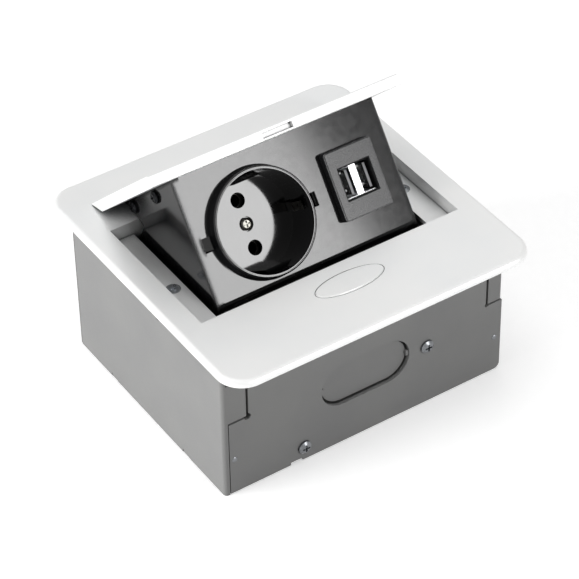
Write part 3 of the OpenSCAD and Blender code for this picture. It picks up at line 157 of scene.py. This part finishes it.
# Satin grey coated steel sheet: a thin rolled grain under the coat, a little uneven in sheen. The grain
# is drawn coarser than its real 0.2 mm so that it shows
def satinCoatedSheet():
    look = {"light": "#858584", "dark": "#7f7f7f", "rough": (0.4, 0.52), "cloudMm": 30,
            "seamShade": "#141414", "seamShadeMm": 1.3, "rolledMm": 0.5, "rolledHeightMm": 0.008,
            "rolledStrength": 0.3, "rolledStretch": (1, 1, 4)}
    material, tree, shader, place = newMaterial("satin coated steel sheet", {"Specular IOR Level": 0.3})
    coat = tint(tree, grain(tree, place, look["cloudMm"]), look["dark"], look["light"])
    # Painted shade darkens the coat in the sheet's seams, gaps and inner corners
    tree.links.new(paintedSeamShade(tree, coat, look["seamShadeMm"], look["seamShade"]), shader.inputs["Base Color"])
    rolled = grain(tree, place, look["rolledMm"], stretch=look["rolledStretch"])
    tree.links.new(between(tree, rolled, *look["rough"]), shader.inputs["Roughness"])
    raised(tree, shader, rolled, look["rolledHeightMm"], look["rolledStrength"])
    return material


# Black stoved lacquer on folded steel: dark and smooth, with a clear gloss and faint orange peel
def blackStovedLacquer():
    look = {"light": "#0d0d0e", "dark": "#09090a", "rough": (0.1, 0.125), "cloudMm": 25,
            "peelMm": 2.5, "peelHeightMm": 0.001, "peelStrength": 0.15,
            "bendMm": 2.2, "bendFromMm": 42.0, "bendToMm": 42.5}
    material, tree, shader, place = newMaterial("black stoved lacquer", {"IOR": 1.5})
    peel = grain(tree, place, look["peelMm"], detail=1)
    surface(tree, shader, grain(tree, place, look["cloudMm"]), look, peel)
    # The face's two side edges are pressed bends, so light turns round them over the bend's radius
    rounded = addNode(tree, "ShaderNodeBevel", settings={"samples": 6},
                      values={"Radius": look["bendMm"] * mm})
    across = addNode(tree, "ShaderNodeSeparateXYZ", links={"Vector": place})
    fromMiddle = addNode(tree, "ShaderNodeMath", settings={"operation": "ABSOLUTE"},
                         links={0: across.outputs["X"]})
    atSide = between(tree, fromMiddle.outputs[0], 0, 1, look["bendFromMm"] * mm, look["bendToMm"] * mm)
    flat = addNode(tree, "ShaderNodeNewGeometry").outputs["Normal"]
    normal = addNode(tree, "ShaderNodeMix", settings={"data_type": "VECTOR"},
                     links={0: atSide, 4: flat, 5: rounded.outputs[0]})
    raised(tree, shader, peel, look["peelHeightMm"], look["peelStrength"], normal.outputs[1])
    return material


# Injection-moulded black ABS from a polished tool: deep black with a clear gloss
def glossMouldedAbs():
    look = {"light": "#0b0b0c", "dark": "#070708", "rough": (0.07, 0.1), "flowMm": 9,
            "waveMm": 1.6, "waveHeightMm": 0.001, "waveStrength": 0.2}
    material, tree, shader, place = newMaterial("gloss moulded ABS", {"IOR": 1.57})
    flow = grain(tree, place, look["flowMm"], detail=2)
    surface(tree, shader, flow, look, flow)
    wave = grain(tree, place, look["waveMm"], detail=1)
    raised(tree, shader, wave, look["waveHeightMm"], look["waveStrength"])
    return material


# Plastic moulded in a spark-eroded tool: a fine even grain of pits, drawn coarser than its real 0.1 mm
def grainedMoulding(name, light, dark, rough, gloss=0.5):
    look = {"light": light, "dark": dark, "rough": rough, "cloudMm": 12,
            "pitMm": 0.3, "pitHeightMm": 0.012, "pitStrength": 0.4}
    material, tree, shader, place = newMaterial(name, {"IOR": 1.5, "Specular IOR Level": gloss})
    pits = grain(tree, place, look["pitMm"], detail=2)
    surface(tree, shader, grain(tree, place, look["cloudMm"]), look, pits)
    raised(tree, shader, pits, look["pitHeightMm"], look["pitStrength"])
    return material


# Polyamide tongue of a port: black along its sides, with painted light that makes the end looking out of
# the face pale
def portTongue():
    look = {"end": "#a3a4a6", "side": "#0a0a0b", "rough": (0.42, 0.56), "grainMm": 0.4,
            "faceNormal": (0, -0.8, 0.6), "sideTo": 0.7, "endFrom": 0.9}
    material, tree, shader, place = newMaterial("black polyamide tongue",
                                                {"IOR": 1.5, "Specular IOR Level": 0.15})
    facing = addNode(tree, "ShaderNodeVectorMath", settings={"operation": "DOT_PRODUCT"},
                     values={1: look["faceNormal"]},
                     links={0: addNode(tree, "ShaderNodeTexCoord").outputs["Normal"]})
    # Painted light: pale where the surface faces out of the face, black where it faces sideways
    colour = tint(tree, facing.outputs["Value"], look["side"], look["end"], look["sideTo"], look["endFrom"])
    tree.links.new(colour, shader.inputs["Base Color"])
    tree.links.new(between(tree, grain(tree, place, look["grainMm"]), *look["rough"]),
                   shader.inputs["Roughness"])
    return material


# Zinc-plated steel: cool silver with a faint bluish cast that wanders over the plating
def zincPlatedSteel(name, light, dark):
    look = {"light": light, "dark": dark, "rough": (0.24, 0.38), "spangleMm": 2.5,
            "turnedMm": 0.25, "turnedHeightMm": 0.004, "turnedStrength": 0.3}
    material, tree, shader, place = newMaterial(name, {"Metallic": 1.0})
    cloud = grain(tree, place, look["spangleMm"])
    surface(tree, shader, cloud, look, cloud)
    turned = grain(tree, place, look["turnedMm"])
    raised(tree, shader, turned, look["turnedHeightMm"], look["turnedStrength"])
    return material


# Other bare or plated metal: silver that dulls and darkens in patches or streaks of one size
def patchyMetal(name, light, dark, rough, patchMm, stretch=(1, 1, 1)):
    look = {"light": light, "dark": dark, "rough": rough}
    material, tree, shader, place = newMaterial(name, {"Metallic": 1.0})
    patches = grain(tree, place, patchMm, stretch=stretch)
    surface(tree, shader, patches, look, patches)
    return material


# Natural nylon: milky white and slightly waxy
def naturalNylon():
    look = {"light": "#e4e1d6", "dark": "#d6d2c5", "rough": (0.36, 0.48), "cloudMm": 5}
    material, tree, shader, place = newMaterial("natural nylon",
        {"IOR": 1.53, "Subsurface Weight": 0.15, "Subsurface Scale": 0.002})
    cloud = grain(tree, place, look["cloudMm"])
    surface(tree, shader, cloud, look, cloud)
    return material


# Moulded black rubber: matt, with a dusty bloom
def mouldedRubber():
    look = {"light": "#222223", "dark": "#151516", "rough": (0.62, 0.8), "bloomMm": 2.2,
            "skinMm": 0.4, "skinHeightMm": 0.01, "skinStrength": 0.4}
    material, tree, shader, place = newMaterial("moulded rubber", {"IOR": 1.52})
    bloom = grain(tree, place, look["bloomMm"])
    surface(tree, shader, bloom, look, bloom)
    skin = grain(tree, place, look["skinMm"])
    raised(tree, shader, skin, look["skinHeightMm"], look["skinStrength"])
    return material


# Glass fibre board under green solder mask: the weave shows faintly through the lacquer, drawn coarser
# than its real 0.5 mm
def solderMaskBoard():
    look = {"light": "#256642", "dark": "#1e5a38", "rough": (0.24, 0.36), "maskMm": 1.5,
            "weaveMm": 0.9}
    material, tree, shader, place = newMaterial("solder mask board", {"IOR": 1.5})
    weave = addNode(tree, "ShaderNodeTexChecker", values={"Scale": 1 / (look["weaveMm"] * mm)},
                    links={"Vector": place}).outputs["Fac"]
    tree.links.new(tint(tree, weave, look["dark"], look["light"], 0, 1), shader.inputs["Base Color"])
    tree.links.new(between(tree, grain(tree, place, look["maskMm"]), *look["rough"]),
                   shader.inputs["Roughness"])
    return material


# Polyester tape round a winding: amber and smooth, with the turns of wire showing as ribs. Blender's
# wave repeats once in about 0.32 / its scale
def amberWindingTape():
    look = {"light": "#d8ab3e", "dark": "#b98a26", "wireMm": 0.5, "waveStep": 0.32,
            "ribHeightMm": 0.05, "ribStrength": 0.5}
    material, tree, shader, place = newMaterial("amber winding tape", {"Roughness": 0.35, "IOR": 1.6})
    ribs = addNode(tree, "ShaderNodeTexWave", settings={"bands_direction": "Z"},
                   values={"Scale": look["waveStep"] / (look["wireMm"] * mm), "Distortion": 0.5},
                   links={"Vector": place}).outputs["Fac"]
    tree.links.new(tint(tree, ribs, look["dark"], look["light"], 0, 1), shader.inputs["Base Color"])
    raised(tree, shader, ribs, look["ribHeightMm"], look["ribStrength"])
    return material


# Which finish each piece has, and the radius its edges are broken to, in millimetres
print("finishes")
# The frame's aluminium carries a dark painted shadow deep in its opening, the lid's only a faint one
aluminium = satinAnodisedAluminium("satin anodised aluminium casting", "#707173")
lidAluminium = satinAnodisedAluminium("satin anodised aluminium", "#f0f0f0")
sheet = satinCoatedSheet()
lacquer = blackStovedLacquer()
glossAbs = glossMouldedAbs()
blackAbs = grainedMoulding("grained black ABS", "#242526", "#1b1c1d", (0.45, 0.58))
usbPlastic = grainedMoulding("grained dark polycarbonate", "#1d1d1f", "#171719", (0.2, 0.33))
portPlastic = grainedMoulding("grained black polyamide", "#0a0a0b", "#060607", (0.45, 0.58), gloss=0.15)
terminalPlastic = grainedMoulding("grained green polyamide", "#3a7a58", "#2f6c4c", (0.45, 0.58))
tonguePlastic = portTongue()
zinc = zincPlatedSteel("zinc plated steel", "#cfd2d6", "#b4b7bc")
# A darker copy of the zinc for the rivets and panel screws: painted shade that stands in for the dark their
# heads mirror
shadedZinc = zincPlatedSteel("zinc plated steel darkened as painted shade", "#8b8d90", "#707275")
wire = patchyMetal("drawn spring wire", "#9fa2a6", "#7c7f84", (0.26, 0.4), patchMm=0.4)
tin = patchyMetal("tin plate", "#f0f0f1", "#dfe0e2", (0.26, 0.38), patchMm=0.3, stretch=(1, 5, 5))
nickel = patchyMetal("nickel plated brass", "#8a8983", "#6f6e69", (0.24, 0.4), patchMm=3)
# Nickel of the socket's contacts and earth clip, darkened for the shade deep in the pin holes and recess:
# painted shade
shadedNickel = patchyMetal("nickel plated bronze with painted shade", "#4c4b48", "#353432", (0.24, 0.4), patchMm=3)
blackZinc = patchyMetal("black passivated zinc", "#313234", "#18191a", (0.26, 0.42), patchMm=1.4)
nylon = naturalNylon()
rubber = mouldedRubber()
board = solderMaskBoard()
tape = amberWindingTape()

finishes = {
    "top_frame": (aluminium, 0.15),
    "button_cap": (lidAluminium, 0.12),
    "lid": (lidAluminium, 0.15),
    "left_panel": (sheet, 0.12),
    "right_panel": (sheet, 0.12),
    "front_panel": (sheet, 0.12),
    "rear_panel": (sheet, 0.12),
    "bottom_panel": (sheet, 0.12),
    "panel_rivets": (shadedZinc, 0.05),
    "ledge_screws": (zinc, 0.06),
    "frame_screws": (zinc, 0.06),
    "panel_screws": (shadedZinc, 0.06),
    "panel_nuts": (zinc, 0.08),
    "hinge_bracket_left": (zinc, 0.1),
    "hinge_bracket_right": (zinc, 0.1),
    "hinge_pin_left": (zinc, 0.1),
    "hinge_pin_right": (zinc, 0.1),
    "latch_housing_screws": (zinc, 0.06),
    "cheek_screws": (blackZinc, 0.06),
    "cover_screws": (blackZinc, 0.05),
    "socket_screw": (nickel, 0.06),
    "terminal_screws": (zinc, 0.05),
    "pin_clips": (wire, 0.05),
    "torsion_spring_left": (wire, 0),
    "torsion_spring_right": (wire, 0),
    "latch_spring": (wire, 0),
    "button_springs": (wire, 0),
    "usb_port_shell": (tin, 0.05),
    "contact_upper": (shadedNickel, 0.05),
    "contact_lower": (shadedNickel, 0.05),
    "earth_clip": (shadedNickel, 0.08),
    "tray_shell": (lacquer, 0.12),
    "socket_front": (glossAbs, 0.1),
    "latch_housing": (blackAbs, 0.1),
    "rear_cover": (blackAbs, 0.12),
    "socket_base": (blackAbs, 0.12),
    "usb_housing": (usbPlastic, 0.12),
    "usb_port_block": (portPlastic, 0.05),
    "usb_tongue_left": (tonguePlastic, 0.04),
    "usb_tongue_right": (tonguePlastic, 0.04),
    "hinge_washers": (nylon, 0.08),
    "latch_bolt": (nylon, 0.1),
    "cable_grommet": (rubber, 0.12),
    "usb_circuit_board": (board, 0.05),
    "usb_transformer": (tape, 0.12),
    "usb_terminal_block": (terminalPlastic, 0.1),
}

edges = {"sharpDegrees": 32, "segments": 2, "flatDegrees": 0.6, "weldMm": 0.002}
for name, (finish, radius) in finishes.items():
    piece = nodes[name]
    piece.data.materials.clear()
    piece.data.materials.append(finish)
    if radius:
        weld = piece.modifiers.new("weld", "WELD")
        weld.merge_threshold = edges["weldMm"] * mm
        flat = piece.modifiers.new("flat faces", "DECIMATE")
        flat.decimate_type = "DISSOLVE"
        flat.angle_limit = math.radians(edges["flatDegrees"])
        broken = piece.modifiers.new("broken edges", "BEVEL")
        broken.width = radius * mm
        broken.segments = edges["segments"]
        broken.limit_method = "ANGLE"
        broken.angle_limit = math.radians(edges["sharpDegrees"])
        evened = piece.modifiers.new("even shading", "WEIGHTED_NORMAL")
        evened.keep_sharp = False


# A copy of a spring's node, which stands for the node; the node itself is hidden
def springCopy(node, name):
    copy = bpy.data.objects.new(name, nodes[node].data.copy())
    bpy.context.scene.collection.objects.link(copy)
    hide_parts(node)
    return copy


# A copy of each torsion spring, with its placement baked into its mesh
print("torsion springs")
for side in ("left", "right"):
    wound = springCopy("torsion_spring_" + side, "wound_spring_" + side)
    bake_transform(wound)


# Copies of the push button's springs and the latch's spring, each fixed to the housing with a mesh of its
# own
print("compression springs")
compression = {"stroke": 0.002, "springs": {"button_springs": ("button_press", (0, 0, 1)),
                                            "latch_spring": ("latch_slide", (0, 1, 0))}}
for name, (joint, axis) in compression["springs"].items():
    pressed = springCopy(name, "pressed_" + name)
    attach(pressed, "housing")
    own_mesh(pressed)


# Plain pale floor, and a world that is bright to the camera and in mirrors, and dimmer as light.
# The floor's glow keeps it white to the camera, and its shadow shows. It lies a hair below the module
print("floor, world and lamps")
studio = {"floorLight": "#f6f6f6", "floorDark": "#f0f0f0", "fibreMm": 3, "floorForLight": "#bcbcbc",
          "floorGlow": 0.37, "floorSize": 4.0, "floorZ": -0.00002, "ambient": 0.28, "backdrop": 1.0}


# 1 for the camera and for mirrored and transmitted rays, else 0
def rayIsSeen(tree):
    path = addNode(tree, "ShaderNodeLightPath").outputs
    total = path["Is Camera Ray"]
    for ray in ("Is Glossy Ray", "Is Transmission Ray"):
        either = addNode(tree, "ShaderNodeMath", settings={"operation": "MAXIMUM"},
                         links={0: total, 1: path[ray]})
        total = either.outputs[0]
    return total


def paleFloor():
    half = studio["floorSize"] / 2
    corners = [(x * half, y * half, studio["floorZ"]) for x, y in ((-1, -1), (1, -1), (1, 1), (-1, 1))]
    mesh = bpy.data.meshes.new("floor")
    mesh.from_pydata(corners, [], [(0, 1, 2, 3)])
    floor = bpy.data.objects.new("floor", mesh)
    bpy.context.scene.collection.objects.link(floor)
    material, tree, shader, place = newMaterial("matt white backdrop paper",
        {"Roughness": 0.9, "Specular IOR Level": 0.2, "Emission Color": (1, 1, 1, 1)})
    seen = rayIsSeen(tree)
    fibres = tint(tree, grain(tree, place, studio["fibreMm"]), studio["floorDark"], studio["floorLight"])
    tone = addNode(tree, "ShaderNodeMix", settings={"data_type": "RGBA"}, links={0: seen, 7: fibres},
                   values={6: linearColour(studio["floorForLight"])})
    tree.links.new(tone.outputs[2], shader.inputs["Base Color"])
    glow = addNode(tree, "ShaderNodeMath", settings={"operation": "MULTIPLY"}, links={0: seen},
                   values={1: studio["floorGlow"]})
    tree.links.new(glow.outputs[0], shader.inputs["Emission Strength"])
    floor.data.materials.append(material)


def studioWorld():
    world = bpy.data.worlds.new("studio")
    world.use_nodes = True
    tree = world.node_tree
    tree.nodes.clear()
    seen = rayIsSeen(tree)
    ambient = addNode(tree, "ShaderNodeBackground", values={"Strength": studio["ambient"]})
    backdrop = addNode(tree, "ShaderNodeBackground", values={"Strength": studio["backdrop"]})
    both = addNode(tree, "ShaderNodeMixShader",
                   links={"Fac": seen, 1: ambient.outputs[0], 2: backdrop.outputs[0]})
    addNode(tree, "ShaderNodeOutputWorld", links={"Surface": both.outputs[0]})
    bpy.context.scene.world = world


# The direction from the module to a lamp or camera, from its angles in degrees. Azimuth 0 is in front
def direction(azimuth, elevation):
    a = math.radians(azimuth)
    e = math.radians(elevation)
    return Vector((math.sin(a) * math.cos(e), -math.cos(a) * math.cos(e), math.sin(e)))


# Soft boxes aimed at the module: distance and size in metres. Only the key, whose mirror image the
# black face shows, is seen in mirrors, so that pale metal doesn't clip
aim = (-0.005, 0.0, 0.075)
lamps = {
    "key on the face": {"azimuth": 20.5, "elevation": 25.5, "distance": 1.0, "size": (0.32, 0.34),
                        "watts": 3.7, "mirrored": True},
    "overhead": {"azimuth": 180, "elevation": 80, "distance": 1.2, "size": (1.0, 1.0),
                 "watts": 5.8, "mirrored": False},
    "left fill": {"azimuth": -100, "elevation": 12, "distance": 1.2, "size": (0.7, 0.7),
                  "watts": 17.5, "mirrored": False},
}


def softBox(name, box):
    light = bpy.data.lights.new(name, "AREA")
    light.shape = "RECTANGLE"
    light.size, light.size_y = box["size"]
    light.energy = box["watts"]
    lamp = bpy.data.objects.new(name, light)
    bpy.context.scene.collection.objects.link(lamp)
    towards = direction(box["azimuth"], box["elevation"])
    lamp.location = Vector(aim) + towards * box["distance"]
    lamp.rotation_euler = towards.to_track_quat("Z", "Y").to_euler()
    lamp.visible_glossy = box["mirrored"]


paleFloor()
studioWorld()
for name, box in lamps.items():
    softBox(name, box)


# The camera stands where the photograph was taken from
print("camera")
shot = {"azimuth": -33.139, "elevation": 40.483, "roll": -1.033, "distance": 1.0087, "focalPx": 2737.37,
        "imagePx": 579, "sensorMm": 36, "target": (-0.02103, -0.03287, 0.0676), "clip": (0.05, 20)}


def photoCamera():
    data = bpy.data.cameras.new("camera")
    data.sensor_width = shot["sensorMm"]
    data.lens = shot["focalPx"] / shot["imagePx"] * shot["sensorMm"]
    data.clip_start, data.clip_end = shot["clip"]
    camera = bpy.data.objects.new("camera", data)
    bpy.context.scene.collection.objects.link(camera)
    back = direction(shot["azimuth"], shot["elevation"])
    camera.location = Vector(shot["target"]) + back * shot["distance"]
    turn = back.to_track_quat("Z", "Y").to_matrix()
    right = turn.col[0]
    up = turn.col[1]
    r = math.radians(shot["roll"])
    turn.col[0] = right * math.cos(r) + up * math.sin(r)
    turn.col[1] = up * math.cos(r) - right * math.sin(r)
    camera.rotation_euler = turn.to_euler()
    bpy.context.scene.camera = camera


photoCamera()
bpy.context.scene.view_settings.view_transform = "Standard"
